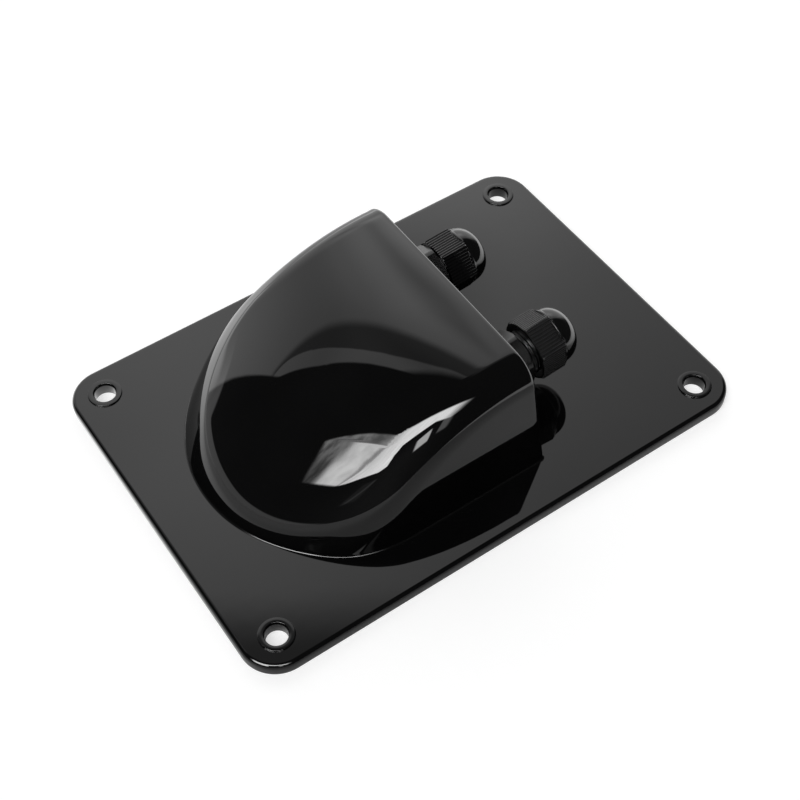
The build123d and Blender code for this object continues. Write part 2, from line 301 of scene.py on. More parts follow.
# Gland face: the flat inside the edge rounding, with a hole for each gland
face_loop = np.concatenate([face_edge_sheet[-1], face_bottom[-2:0:-1]])
face_rim = loop_inward(face_loop, face_normal, strip)
hole_sheets = []
for place in gland_places.values():
    around, rim = (ring_of(place, gland_hole + wider, side_way, face_up) for wider in (strip, 0))
    hole_sheets.append(np.stack([around, rim, rim - hood_wall * face_normal]))

# Inside of the hood, one wall further in, from the open underside up
inner_rows = np.concatenate(
    [np.linspace(0, 28, 22), np.linspace(29, 50, 20), np.linspace(52, 90, 18)]
)
cavity_nose, cavity_straight, _ = hood_sheets(
    level=-hood_wall,
    start_z=0.0,
    behind_face=hood_wall,
    rounding=0.0,
    rows=inner_rows,
    turns=72,
    slices=16,
)
cavity_foot = np.linspace(cavity_straight[-1, 0], cavity_straight[-1, -1], 14)
cavity_front = np.stack([cavity_foot, cavity_foot])
cavity_front[1, 1:-1] += strip * face_up

# Flange edge, rounded above, as (inset, height), and the raised ring round each screw hole
edge_centre = flange_top - flange_rounding
edge_turn = np.radians(np.linspace(9, 90, 10))
edge_insets = flange_rounding - flange_rounding * np.sin(edge_turn)
edge_heights = edge_centre + flange_rounding * np.cos(edge_turn)
edge_profile = [(flange_rounding + 0.06, flange_top), (flange_rounding, flange_top)]
edge_profile += list(zip(edge_insets, edge_heights))
edge_profile += [(0.0, 0.35), (0.05, 0.12), (0.18, 0.03), (0.35, 0.0), (0.4, 0.0)]
edge_sheet = np.stack([flange_outline(inset, height) for inset, height in edge_profile])
ring_profile = [(6.2, flange_top), (6.15, flange_top)]
ring_profile += arc_points((6.15, flange_top + 0.12), 0.12, 270, 190, steps=4)[1:]
ring_profile += arc_points((5.82, flange_top + 0.37), 0.18, 10, 90, steps=5)
ring_profile += arc_points((4.3, flange_top + 0.37), 0.18, 90, 150, steps=4)
ring_profile += [(3.9, flange_top - 0.05), (3.82, flange_top - 0.25)]
ring_profile += [(screw_hole, flange_top - 0.5), (screw_hole, 0.4)]
ring_profile += [(3.9, 0.15), (4.15, 0.0), (4.2, 0.0)]
screw_places = [np.array([x, y, 0.0]) for x in (-screw_x, screw_x) for y in (-screw_y, screw_y)]

# The whole shell: each grid of points, and whether its columns close into a ring
housing_sheets = [
    (nose_sheet, False),
    (straight_sheet, False),
    (face_edge_sheet, False),
    (foot_sheet, True),
    (face_rim, True),
    (edge_sheet, True),
    (cavity_nose, False),
    (cavity_straight, False),
    (cavity_front, False),
]
housing_sheets += [(sheet, True) for sheet in hole_sheets]
housing_sheets += [(turned_profile(place, ring_profile), True) for place in screw_places]
housing_fills = [
    (flange_top * up, up),
    (face_foot, face_normal),
    (np.zeros(3), -up),
    (face_foot - hood_wall * face_normal, -face_normal),
]
housing = mesh_of("housing_shell", housing_sheets, housing_fills)
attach(housing, "box")
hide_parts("housing")


def link(tree, value, socket):
    """Sets a socket to a number or colour, or joins it to another node's output."""
    if isinstance(value, bpy.types.NodeSocket):
        tree.links.new(value, socket)
    else:
        socket.default_value = value


def calc(tree, operation, *values):
    """Output of a Math node on numbers or outputs."""
    node = tree.nodes.new("ShaderNodeMath")
    node.operation = operation
    for value, socket in zip(values, node.inputs):
        link(tree, value, socket)
    return node.outputs[0]


def remap(tree, value, low, high, to_low=0.0, to_high=1.0):
    """A value carried smoothly from one range to another and held at its ends."""
    node = tree.nodes.new("ShaderNodeMapRange")
    node.interpolation_type = "SMOOTHSTEP"
    for entry, socket in zip((value, low, high, to_low, to_high), node.inputs):
        link(tree, entry, socket)
    return node.outputs[0]


def noise(tree, place, size, detail=2.0, roughness=0.5):
    """A noise pattern whose lumps are about that many mm across."""
    node = tree.nodes.new("ShaderNodeTexNoise")
    tree.links.new(place, node.inputs["Vector"])
    node.inputs["Scale"].default_value = 1000.0 / size
    node.inputs["Detail"].default_value = detail
    node.inputs["Roughness"].default_value = roughness
    return node.outputs["Fac"]


def moulded_skin_group():
    """The skin of a moulding: a slow cloud in its colour and gloss, finger-wide smudges that dull
    it, a soft ripple from the flow of the plastic, and a fine grain from the mould's surface."""
    cloud_size, smudge_size, ripple_size = 38.0, 17.0, 9.0
    group = bpy.data.node_groups.new("moulded_skin", "ShaderNodeTree")
    face = group.interface
    for name in ("Dark", "Light"):
        face.new_socket(name, in_out="INPUT", socket_type="NodeSocketColor")
    for name in ("Gloss", "Smudge", "Grain", "Grain Size", "Ripple"):
        face.new_socket(name, in_out="INPUT", socket_type="NodeSocketFloat")
    face.new_socket("Color", in_out="OUTPUT", socket_type="NodeSocketColor")
    for name in ("Roughness", "Height"):
        face.new_socket(name, in_out="OUTPUT", socket_type="NodeSocketFloat")
    given = group.nodes.new("NodeGroupInput").outputs
    made = group.nodes.new("NodeGroupOutput").inputs
    place = group.nodes.new("ShaderNodeTexCoord").outputs["Object"]
    cloud = noise(group, place, cloud_size, detail=3.0)
    smudge = noise(group, place, smudge_size, detail=4.0, roughness=0.6)
    smudge = remap(group, smudge, 0.5, 0.72)
    fine = group.nodes.new("ShaderNodeTexNoise")
    group.links.new(place, fine.inputs["Vector"])
    group.links.new(given["Grain Size"], fine.inputs["Scale"])
    fine.inputs["Detail"].default_value = 3.0
    tint = group.nodes.new("ShaderNodeMix")
    tint.data_type = "RGBA"
    group.links.new(remap(group, cloud, 0.3, 0.7), tint.inputs["Factor"])
    group.links.new(given["Dark"], tint.inputs["A"])
    group.links.new(given["Light"], tint.inputs["B"])
    group.links.new(tint.outputs["Result"], made["Color"])
    dull = calc(group, "MULTIPLY_ADD", smudge, 0.7, calc(group, "MULTIPLY", cloud, 0.6))
    dull = calc(group, "MULTIPLY", given["Smudge"], dull)
    group.links.new(calc(group, "ADD", given["Gloss"], dull), made["Roughness"])
    ripple = noise(group, place, ripple_size, detail=1.0)
    ripple = calc(group, "MULTIPLY", ripple, given["Ripple"])
    height = calc(group, "MULTIPLY_ADD", fine.outputs["Fac"], given["Grain"], ripple)
    group.links.new(height, made["Height"])
    return group


moulded_skin = moulded_skin_group()


def skinned_material(name, skin_values, relief, ior):
    """A Principled material whose colour, roughness and bump, with its relief in metres, come from
    the moulded skin."""
    material = bpy.data.materials.new(name)
    material.use_nodes = True
    tree = material.node_tree
    shader = tree.nodes["Principled BSDF"]
    skin = tree.nodes.new("ShaderNodeGroup")
    skin.node_tree = moulded_skin
    for key, value in skin_values.items():
        skin.inputs[key].default_value = value
    tree.links.new(skin.outputs["Color"], shader.inputs["Base Color"])
    tree.links.new(skin.outputs["Roughness"], shader.inputs["Roughness"])
    bump = tree.nodes.new("ShaderNodeBump")
    bump.inputs["Strength"].default_value = 1.0
    bump.inputs["Distance"].default_value = relief
    tree.links.new(skin.outputs["Height"], bump.inputs["Height"])
    tree.links.new(bump.outputs["Normal"], shader.inputs["Normal"])
    shader.inputs["IOR"].default_value = ior
    return material


gloss_black_abs = skinned_material(
    "gloss_black_abs",
    {
        "Dark": (0.0016, 0.0016, 0.0017, 1),
        "Light": (0.0025, 0.0025, 0.0026, 1),
        "Gloss": 0.012,
        "Smudge": 0.02,
        "Grain": 0.05,
        "Grain Size": 1500.0,
        "Ripple": 1.0,
    },
    relief=0.000006,
    ior=1.5,
)
housing.data.materials.append(gloss_black_abs)


# Gland bodies: black nylon mouldings, one pushed through each hole of the leaning face. Each has a
# thread for the locknut, a disc, a hexagonal collar, a thread for the cap and eight claws that the
# cap presses on the seal. Along a gland's axis, along = 0 is the gland face.
thread_pitch, run_out = 1.5, 0.7
gland_bore, seal_pocket = 4.4, 5.2
disc_start, disc_radius = 1.5, 10.2
collar_start, collar_end, collar_flats = 3.3, 10.3, 19.4
claw_count, claw_half_slot, claw_start = 8, 0.55, 18.0
entry_thread = {"crest": 7.6, "depth": 0.4, "first": -10.7, "last": disc_start}
cap_thread = {"crest": 8.1, "depth": 0.38, "first": collar_end, "last": 21.0}
body_angles = angles_round(240)


def on_gland(place, radius, angle, along):
    """Points at a radius and an angle (from +Y towards up) round a gland's axis, and along it."""
    return (
        place
        + (radius * np.cos(angle))[..., None] * side_way
        + (radius * np.sin(angle))[..., None] * face_up
        + along[..., None] * face_normal
    )


def turned_grid(place, rows, angle):
    """Grid of points from rows of (radius, along), each a number or a value for every angle."""
    radius = np.stack([np.broadcast_to(row[0], angle.shape) for row in rows])
    along = np.stack([np.broadcast_to(row[1], angle.shape) for row in rows])
    return on_gland(place, radius, np.broadcast_to(angle, radius.shape), along)


def eased(corners, steps=3, margin=0.04):
    """A profile from (radius, along, rounding) corners: each becomes an arc that touches both of
    its lines, with a point by a margin before and after it that keeps the flats flat."""
    spot = np.array([c[:2] for c in corners], float)
    rows = [tuple(spot[0])]
    for k in range(1, len(corners) - 1):
        back, forth = unit(spot[k - 1] - spot[k]), unit(spot[k + 1] - spot[k])
        half = math.acos(np.clip(back @ forth, -1, 1)) / 2
        size = corners[k][2]
        reach = size / math.tan(half)
        centre = spot[k] + unit(back + forth) * size / math.sin(half)
        first, last = unit(spot[k] + back * reach - centre), unit(spot[k] + forth * reach - centre)
        turn = math.acos(np.clip(first @ last, -1, 1))
        share = np.linspace(0, 1, steps + 1)[:, None]
        way = np.sin((1 - share) * turn) * first + np.sin(share * turn) * last
        before, after = spot[k] + back * (reach + margin), spot[k] + forth * (reach + margin)
        rows += [tuple(p) for p in (before, *(centre + size * way / math.sin(turn)), after)]
    return rows + [tuple(spot[-1])]


def hexagon(angle, flats, first_corner):
    """Radius of a hexagon of that width across its flats, with a corner at that many degrees."""
    within = np.mod(angle - math.radians(first_corner), math.pi / 3) - math.pi / 6
    return flats / 2 / np.cos(within)


def threaded(angle, along, crest, depth, first, last):
    """Radius of a right-hand thread: the crest less its depth times a wave of (along / pitch -
    turns), which is clipped to flat crests and roots and eased in at both ends."""
    wave = 0.5 - 0.5 * np.cos(2 * np.pi * (along / thread_pitch - angle / (2 * np.pi)))
    ease = np.clip((along - first) / run_out, 0, 1) * np.clip((last - along) / run_out, 0, 1)
    return crest - depth * ease * np.clip(1.3 * wave - 0.12, 0, 1)


def thread_rows(angle, start, stop, count, thread):
    """Rows of (radius, along) of a thread from start to stop."""
    return [(threaded(angle, along, **thread), along) for along in np.linspace(start, stop, count)]


def nut_rows(angle, flats, first_corner, trim, start, stop, cut):
    """Rows of a hexagonal nut, whose corners a cone trims by the cut at both ends."""
    depth = np.array([0.0, 0.04, 0.15, 0.3, 0.45, 0.56, 0.6, 0.66])
    limit = trim - cut * np.array([1.0, 0.93, 0.75, 0.5, 0.25, 0.07, 0.0, 0.0])
    sign = np.sign(stop - start)
    hexagonal = hexagon(angle, flats, first_corner)
    rows = [(np.minimum(hexagonal, t), start + sign * d) for d, t in zip(depth, limit)]
    return rows + [(r, start + stop - s) for r, s in rows[::-1]]


body_rows = [(gland_bore, -10.7), (4.44, -10.9), (4.55, -11.0), (7.0, -11.0), (7.1, -10.98)]
body_rows += thread_rows(body_angles, -10.75, 1.35, 81, entry_thread)
body_rows += eased(
    [
        (entry_thread["crest"], disc_start, 0),
        (disc_radius, disc_start, 0.25),
        (disc_radius, collar_start, 0.35),
        (9.95, collar_start, 0),
    ]
)
body_rows += nut_rows(
    body_angles,
    collar_flats,
    first_corner=30,
    trim=10.7,
    start=collar_start,
    stop=collar_end,
    cut=0.75,
)
body_rows += [(9.6, collar_end), (8.2, collar_end), (8.12, 10.32), (cap_thread["crest"], 10.38)]
body_rows += thread_rows(body_angles, 10.42, claw_start, 61, cap_thread)
body_rows += [(5.3, claw_start), (seal_pocket, claw_start), (seal_pocket, 13.55), (5.16, 13.5)]
body_rows += [(4.45, 13.5), (gland_bore, 13.45), (gland_bore, 0.0), (gland_bore, -10.7)]

# Outline of a claw in (radius, along): foot, threaded outside, the cone the cap presses on, and tip
claw_outline = [(seal_pocket, 17.8), (7.4, 17.8)]
claw_outline += [(cap_thread["crest"], along) for along in np.linspace(17.9, 19.22, 12)]
claw_outline += [(7.97, 19.38), (7.78, 19.48), (7.66, 19.6), (6.5, 23.37), (6.36, 23.8)]
claw_outline += [(6.2, 23.95), (6.0, 24.0), (5.42, 24.0), (5.26, 23.93), (seal_pocket, 23.75)]
claw_outline = np.array(claw_outline + claw_outline[:1])


def claw_half_angle(radius):
    """Angle from the middle of a claw to its slot at a radius."""
    return math.pi / claw_count - np.arcsin(claw_half_slot / radius)


def claw_sheet(place, middle):
    """One claw: its outline, with the cap's thread on its outside, carried round from slot to slot
    and closed at both ends to a point inside the outline."""
    angle = middle + np.linspace(-1, 1, 9)[None] * claw_half_angle(claw_outline[:, 0])[:, None]
    radius = np.broadcast_to(claw_outline[:, :1], angle.shape)
    along = np.broadcast_to(claw_outline[:, 1:], angle.shape)
    outside = (radius > 7.7) & (along < 19.55)
    radius = np.where(outside, np.minimum(radius, threaded(angle, along, **cap_thread)), radius)
    grid = on_gland(place, radius, angle, along)
    end_radius, end_along = np.full(2, 6.3), np.full(2, 19.0)
    end_angle = middle + np.array([-1, 1]) * claw_half_angle(end_radius)
    ends = on_gland(place, end_radius, end_angle, end_along)
    first, last = (np.broadcast_to(end, grid[:, :1].shape) for end in ends)
    return np.concatenate([first, grid, last], axis=1)


black_nylon = skinned_material(
    "black_nylon",
    {
        "Dark": (0.002, 0.002, 0.0021, 1),
        "Light": (0.0035, 0.0035, 0.0036, 1),
        "Gloss": 0.24,
        "Smudge": 0.12,
        "Grain": 1.0,
        "Grain Size": 4500.0,
        "Ripple": 0.3,
    },
    relief=0.000004,
    ior=1.5,
)
claw_middles = [math.radians((k + 0.5) * 360 / claw_count) for k in range(claw_count)]
for side, place in gland_places.items():
    sheets = [(turned_grid(place, body_rows, body_angles), True)]
    sheets += [(claw_sheet(place, middle), False) for middle in claw_middles]
    piece = mesh_of(side + "_body_of_gland", sheets)
    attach(piece, "box")
    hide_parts(side + "_gland_body")
    piece.data.materials.append(black_nylon)


# Gland gaskets: flat washers of black rubber between each disc and the leaning face, squeezed so
# that their outer edge bulges a little. The profile is mirrored at half its thickness.
rubber_angles = angles_round(96)
gasket_rows = [(7.7, 0.1), (7.75, 0.02), (7.85, 0.0), (9.3, 0.0)]
gasket_rows += [(9.5, 0.05), (9.68, 0.25), (9.78, 0.5), (9.8, disc_start / 2)]
gasket_rows = gasket_rows + [(r, disc_start - s) for r, s in gasket_rows[-2::-1]] + gasket_rows[:1]
washer_rubber = skinned_material(
    "washer_rubber",
    {
        "Dark": (0.006, 0.006, 0.006, 1),
        "Light": (0.011, 0.011, 0.0108, 1),
        "Gloss": 0.5,
        "Smudge": 0.25,
        "Grain": 1.0,
        "Grain Size": 3500.0,
        "Ripple": 0.5,
    },
    relief=0.00002,
    ior=1.52,
)
for side, place in gland_places.items():
    grid = turned_grid(place, gasket_rows, rubber_angles)
    piece = mesh_of(side + "_washer_of_gland", [(grid, True)])
    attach(piece, "box")
    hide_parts(side + "_gland_gasket")
    piece.data.materials.append(washer_rubber)


# Locknuts: black nylon hexagon nuts screwed on the gland bodies from inside the hood, tight against
# the inside of the wall.
locknut_bore, locknut_flats, locknut_end = 7.65, 21.0, -8.0
locknut_rows = [(locknut_bore, -3.2), (7.72, -3.06), (7.85, -hood_wall)]
locknut_rows += nut_rows(
    body_angles,
    locknut_flats,
    first_corner=0,
    trim=11.62,
    start=-hood_wall,
    stop=locknut_end,
    cut=1.0,
)
locknut_rows += [(7.85, locknut_end), (7.72, -7.94), (locknut_bore, -7.8), (locknut_bore, -3.2)]
for side, place in gland_places.items():
    grid = turned_grid(place, locknut_rows, body_angles)
    piece = mesh_of(side + "_locknut_of_gland", [(grid, True)])
    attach(piece, "box")
    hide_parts(side + "_gland_locknut")
    piece.data.materials.append(black_nylon)


# Gland seals: sleeves of black rubber that stand in the pocket inside the claws and close on the
# cable. Each is seen as the dark ring behind the hole of its cap. At rest the right cap stands out
# on its thread, and its seal with it.
cap_out = {"left": 0.0, "right": 3.0}
seal_corners = [(4.6, 13.8, 0), (5.15, 13.8, 0.2), (5.15, 25.15, 0.2), (4.25, 26.05, 0.12)]
seal_corners += [(3.9, 26.05, 0.12), (3.9, 13.8, 0.2), (4.6, 13.8, 0)]
sleeve_rubber = skinned_material(
    "sleeve_rubber",
    {
        "Dark": (0.005, 0.005, 0.005, 1),
        "Light": (0.009, 0.009, 0.0088, 1),
        "Gloss": 0.42,
        "Smudge": 0.2,
        "Grain": 1.0,
        "Grain Size": 3500.0,
        "Ripple": 0.5,
    },
    relief=0.000015,
    ior=1.52,
)
for side, place in gland_places.items():
    grid = turned_grid(place + cap_out[side] * face_normal, eased(seal_corners), rubber_angles)
    piece = mesh_of(side + "_sleeve_of_gland", [(grid, True)])
    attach(piece, side + "_seal")
    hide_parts(side + "_gland_seal")
    piece.data.materials.append(sleeve_rubber)


# Gland caps: black nylon nuts with ten grooves in each flat and a smooth dome with the cable's
# hole. Each screws on its gland body, and the cone inside it presses the claws and seal together.
cap_corner = {"left": 52.75, "right": 30.0}
cap_radius, cap_hole, ribs_per_flat = 11.5, 4.6, 10
cap_to_flat = cap_radius * math.sqrt(3) / 2
dome_radius, dome_centre = 7.6, (2.8, 21.25)
bore_thread = {"crest": 8.16, "depth": 0.38, "first": 11.0, "last": 19.6}
polished_nylon = skinned_material(
    "polished_nylon",
    {
        "Dark": (0.0024, 0.0024, 0.0025, 1),
        "Light": (0.004, 0.004, 0.0041, 1),
        "Gloss": 0.06,
        "Smudge": 0.05,
        "Grain": 0.5,
        "Grain Size": 4500.0,
        "Ripple": 0.4,
    },
    relief=0.000004,
    ior=1.53,
)

# One rib's points along the flat and their depths, repeated for all the ribs of a flat
rib_places = np.array([0.0, 0.14, 0.28, 0.32, 0.5, 0.575, 0.65, 0.83, 0.87, 1.01])
rib_depths = np.array([0.0, 0.013, 0.051, 0.073, 0.213, 0.36, 0.213, 0.073, 0.051, 0.013])
rib_pitch = cap_radius / ribs_per_flat
flat_places = (np.arange(ribs_per_flat)[:, None] * rib_pitch + rib_places).ravel()
flat_depths = np.tile(rib_depths, ribs_per_flat)

# Outside of the cap, rear edge to foot of the dome, as (along, turned limit, least radius)
cap_outside = [(10.45, 10.86, 0), (10.5, 10.98, 0), (10.62, 11.2, 0), (10.78, 11.38, 0)]
cap_outside += [(10.95, cap_radius, 0), (15.0, cap_radius, 0), (20.2, 11.48, 0), (20.34, 11.43, 0)]
cap_outside += [(20.345, 11.425, 10.36), (20.38, 11.4, 10.46), (20.44, 11.34, 10.51)]
cap_outside += [(20.53, 11.26, 10.53), (20.85, 10.96, 10.53), (21.0, 10.75, 10.53)]
cap_outside += [(21.06, 10.6, 10.5), (21.2, 10.4, 10.4)]

# From there on, as (radius, along): dome, hole and the two cones inside, and behind the thread
dome_lift = np.radians(np.concatenate([[2.6], np.linspace(4, 73.17, 18)]))
dome_radii = dome_centre[0] + dome_radius * np.cos(dome_lift)
cap_front = list(zip(dome_radii, dome_centre[1] + dome_radius * np.sin(dome_lift)))
cap_front += [(4.95, 28.52), (4.8, 28.5), (4.66, 28.42), (cap_hole, 28.28), (cap_hole, 28.2)]
cap_front += [(cap_hole, 26.2), (4.63, 26.09), (6.5, 24.22), (6.59, 24.08), (7.9, 19.87)]
cap_front += [(7.94, 19.81), (8.1, 19.78), (bore_thread["crest"], 19.7)]
cap_back = [(8.19, 10.7), (8.4, 10.47), (8.46, 10.45), (10.8, 10.45)]


def ribbed(first_corner, limit, least, ribs=1.0):
    """Angle and radius round the cap: points along each flat, less the ribs' profile of low crowns
    and V grooves, held inside a turned limit and outside the ring at the dome's foot."""
    along_flat = np.tile(flat_places - cap_radius / 2, 6)
    inwards = cap_to_flat - ribs * np.tile(flat_depths, 6)
    flat = np.repeat(np.arange(6), len(flat_places)) * math.pi / 3 + math.radians(first_corner + 30)
    radius = np.hypot(along_flat, inwards)
    return flat + np.arctan2(along_flat, inwards), np.maximum(np.minimum(radius, limit), least)


def cap_sheet(place, first_corner, out):
    """The whole cap as one grid: ribbed outside, dome, hole, cones, thread and back."""
    grid = []
    for along, limit, least in cap_outside:
        angle, radius = ribbed(first_corner, limit, least)
        grid.append(on_gland(place, radius, angle, np.full_like(radius, along + out)))
    angle, _ = ribbed(first_corner, cap_radius, 0, ribs=0.0)
    rows = cap_front + thread_rows(angle, 19.65, 10.8, 58, bore_thread) + cap_back
    turned = turned_grid(place, [(radius, along + out) for radius, along in rows], angle)
    return np.concatenate([np.stack(grid), turned, grid[0][None]])


for side, place in gland_places.items():
    grid = cap_sheet(place, cap_corner[side], cap_out[side])
    piece = mesh_of(side + "_domed_cap", [(grid, True)])
    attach(piece, side + "_cap")
    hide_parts(side + "_gland_cap")
    piece.data.materials.append(polished_nylon)


# Floor: a wide pale table, lit by the studio. A part of its white is its own light for the rays
# of the camera, of gloss and of clear things, so that it reads as white paper and still keeps the
# shadow.
floor_radius, floor_height, own_white = 6.0, -0.0001, 0.6


def vector_calc(tree, operation, vector, fixed):
    """A Vector Math node on an output and fixed numbers."""
    node = tree.nodes.new("ShaderNodeVectorMath")
    node.operation = operation
    tree.links.new(vector, node.inputs[0])
    node.inputs[1].default_value = fixed
    return node


floor_angles = angles_round(128)
floor_line = np.stack(
    [
        floor_radius * np.cos(floor_angles),
        floor_radius * np.sin(floor_angles),
        np.full(len(floor_angles), floor_height),
    ],
    axis=-1,
)
floor_mesh = bpy.data.meshes.new("floor")
floor_mesh.from_pydata(floor_line.tolist(), [], [list(range(len(floor_angles)))])
floor = bpy.data.objects.new("floor", floor_mesh)
bpy.context.scene.collection.objects.link(floor)
pale_paper = bpy.data.materials.new("pale_paper")
pale_paper.use_nodes = True
tree = pale_paper.node_tree
shader = tree.nodes["Principled BSDF"]
shader.inputs["Base Color"].default_value = (0.5, 0.5, 0.5, 1)
shader.inputs["Roughness"].default_value = 1.0
shader.inputs["Specular IOR Level"].default_value = 0.0
shader.inputs["Emission Color"].default_value = (1, 1, 1, 1)
ray = tree.nodes.new("ShaderNodeLightPath")

# What the gloss sees of the table is painted light: the table glows for gloss rays only, brighter
# in an oval patch left of the hood, at both ends of the box, and towards the wall
on_table = tree.nodes.new("ShaderNodeTexCoord").outputs["Object"]
to_wall = (math.cos(math.radians(56)), math.sin(math.radians(56)), 0)
far_side = vector_calc(tree, "DOT_PRODUCT", on_table, to_wall).outputs["Value"]
squeezed = vector_calc(tree, "MULTIPLY", on_table, (1.0, 0.32, 1.0)).outputs[0]
patch = vector_calc(tree, "DISTANCE", squeezed, (-0.1, 0.1, 0)).outputs["Value"]
split = tree.nodes.new("ShaderNodeSeparateXYZ")
tree.links.new(on_table, split.inputs[0])
table_x = split.outputs[0]
patch_light = remap(tree, patch, 0.04, 0.13, 1.6, 0.0)
far_light = calc(tree, "ADD", patch_light, remap(tree, table_x, 0.1, 0.17, 0.0, 1.1))
far_light = calc(tree, "ADD", far_light, remap(tree, far_side, -0.2, 0.35, 0.0, 0.5))
far_light = calc(tree, "ADD", far_light, remap(tree, table_x, -0.08, -0.25, 0.0, 0.25))
seen_in_gloss = calc(tree, "MULTIPLY", ray.outputs["Is Glossy Ray"], far_light)
seen = calc(tree, "MAXIMUM", ray.outputs["Is Camera Ray"], ray.outputs["Is Transmission Ray"])
own_light = calc(tree, "MULTIPLY_ADD", seen, own_white, seen_in_gloss)
tree.links.new(own_light, shader.inputs["Emission Strength"])
floor_mesh.materials.append(pale_paper)


# Studio: a dark room with a pale wall behind the table and one large soft lamp high on the left,
# which the camera and its stand partly cover. Gloss shows them; the camera and clear things see
# white.
room = bpy.data.worlds.new("studio")
bpy.context.scene.world = room
room.use_nodes = True
studio = room.node_tree
way = studio.nodes.new("ShaderNodeTexCoord").outputs["Generated"]
split = studio.nodes.new("ShaderNodeSeparateXYZ")
studio.links.new(way, split.inputs[0])
way_x, way_y, way_z = split.outputs


def solve(operation, *values):
    """Output of a Math node in the studio."""
    return calc(studio, operation, *values)


def ramp(value, low, high, to_low=0.0, to_high=1.0):
    """A value of the studio carried smoothly from one range to another."""
    return remap(studio, value, low, high, to_low, to_high)


def plus(*values):
    """Sum of values of the studio."""
    total = values[0]
    for value in values[1:]:
        total = solve("ADD", total, value)
    return total


def times(*values):
    """Product of values of the studio."""
    total = values[0]
    for value in values[1:]:
        total = solve("MULTIPLY", total, value)
    return total


def flat_view(azimuth, elevation):
    """Across, up and whether it is in front, on a flat picture centred on a direction."""
    a, e = math.radians(azimuth), math.radians(elevation)
    axes = [
        (math.cos(e) * math.cos(a), math.cos(e) * math.sin(a), math.sin(e)),
        (-math.sin(a), math.cos(a), 0),
        (-math.sin(e) * math.cos(a), -math.sin(e) * math.sin(a), math.cos(e)),
    ]
    parts = [vector_calc(studio, "DOT_PRODUCT", way, axis).outputs["Value"] for axis in axes]
    depth = solve("MAXIMUM", parts[0], 0.02)
    in_front = ramp(parts[0], 0.1, 0.2)
    return solve("DIVIDE", parts[1], depth), solve("DIVIDE", parts[2], depth), in_front


def slanted(x, y, a, b, c, soft):
    """1 where a x + b y is above c, with a soft edge."""
    value = solve("MULTIPLY_ADD", x, a, solve("MULTIPLY", y, b))
    return ramp(value, c - soft / 2, c + soft / 2)


def hump(value, middle, width):
    """A bell curve of a value round its middle."""
    off = solve("DIVIDE", solve("SUBTRACT", value, middle), width)
    return solve("EXPONENT", times(off, off, -1.0))


def cubic(value, a, b, c, d):
    """a + b x + c x^2 + d x^3 of a value x."""
    inner = solve("MULTIPLY_ADD", solve("MULTIPLY_ADD", value, d, c), value, b)
    return solve("MULTIPLY_ADD", inner, value, a)


# Directions in the studio: turn and rise in degrees, and (east, north) on a ceiling at height 1
per_radian = 57.2958
turn = times(solve("ARCTAN2", way_y, way_x), per_radian)
turn = solve("FLOORED_MODULO", turn, 360.0)
rise = times(solve("ARCSINE", solve("MINIMUM", way_z, 1.0)), per_radian)
ceiling = solve("MAXIMUM", way_z, 0.02)
east, north = solve("DIVIDE", way_x, ceiling), solve("DIVIDE", way_y, ceiling)
above_table = ramp(way_z, 0.02, 0.03)

# Light of the pale wall behind: it falls with height, glows where a lamp out of sight falls on it,
# and is uneven, with a shaded spot, a duller part and a brighter one
wall_at_30, wall_fall = 1.057, 0.508
glow_turn, glow_rise, glow_slope = 65.3, 42.6, 0.18
ridge = solve("MULTIPLY_ADD", turn, glow_slope, glow_rise - glow_slope * glow_turn)
off_ridge = solve("SUBTRACT", rise, ridge)
glow = times(
    hump(turn, glow_turn, 22.0),
    hump(off_ridge, 0.0, 19.1),
    ramp(rise, 16.0, 36.0),
    1.277,
)
wall_light = plus(solve("MULTIPLY_ADD", rise, -wall_fall / 30, wall_at_30 + wall_fall), glow)
wall_light = times(wall_light, ramp(rise, 0.0, 34.0, 0.77, 1.0))
wall_light = plus(wall_light, times(ramp(turn, 86.0, 102.0), ramp(rise, 50.0, 60.0), 0.35))
shade = times(
    ramp(turn, 48.0, 54.0),
    ramp(turn, 55.0, 67.0, 1.0, 0.0),
    ramp(rise, 44.0, 50.0),
    ramp(rise, 53.0, 58.0, 1.0, 0.0),
    0.32,
)
wall_light = times(wall_light, solve("SUBTRACT", 1.0, shade))
duller = times(
    ramp(east, 0.02, 0.14),
    ramp(east, 0.46, 0.54, 1.0, 0.0),
    ramp(north, 0.95, 1.1, 1.0, 0.0),
    -0.1,
)
duller = solve("MULTIPLY_ADD", hump(east, 0.45, 0.09), -0.15, duller)
duller = times(duller, ramp(north, 0.64, 0.76))
brighter = times(ramp(east, 0.52, 0.66), ramp(north, 0.62, 0.8), 0.18)
wall_light = times(wall_light, plus(duller, brighter, 1.0))

# The dark seam that folds across the wall, between two curves over east
fold = solve("SUBTRACT", cubic(east, 0.484, -0.433, 1.826, 1.654), ramp(east, 0.08, 0.3, 0.0, 0.12))
over_fold = solve("SUBTRACT", north, fold)
under_top = solve("SUBTRACT", north, cubic(east, 0.658, -0.718, 0.137, 0.22))
seam = times(
    ramp(over_fold, -0.006, 0.008),
    ramp(under_top, -0.038, 0.035, 1.0, 0.0),
    ramp(east, 0.3, 0.4, 1.0, 0.0),
    ramp(east, -0.85, -0.7),
    above_table,
)
wall_light = times(wall_light, solve("MULTIPLY_ADD", seam, -0.75, 1.0))

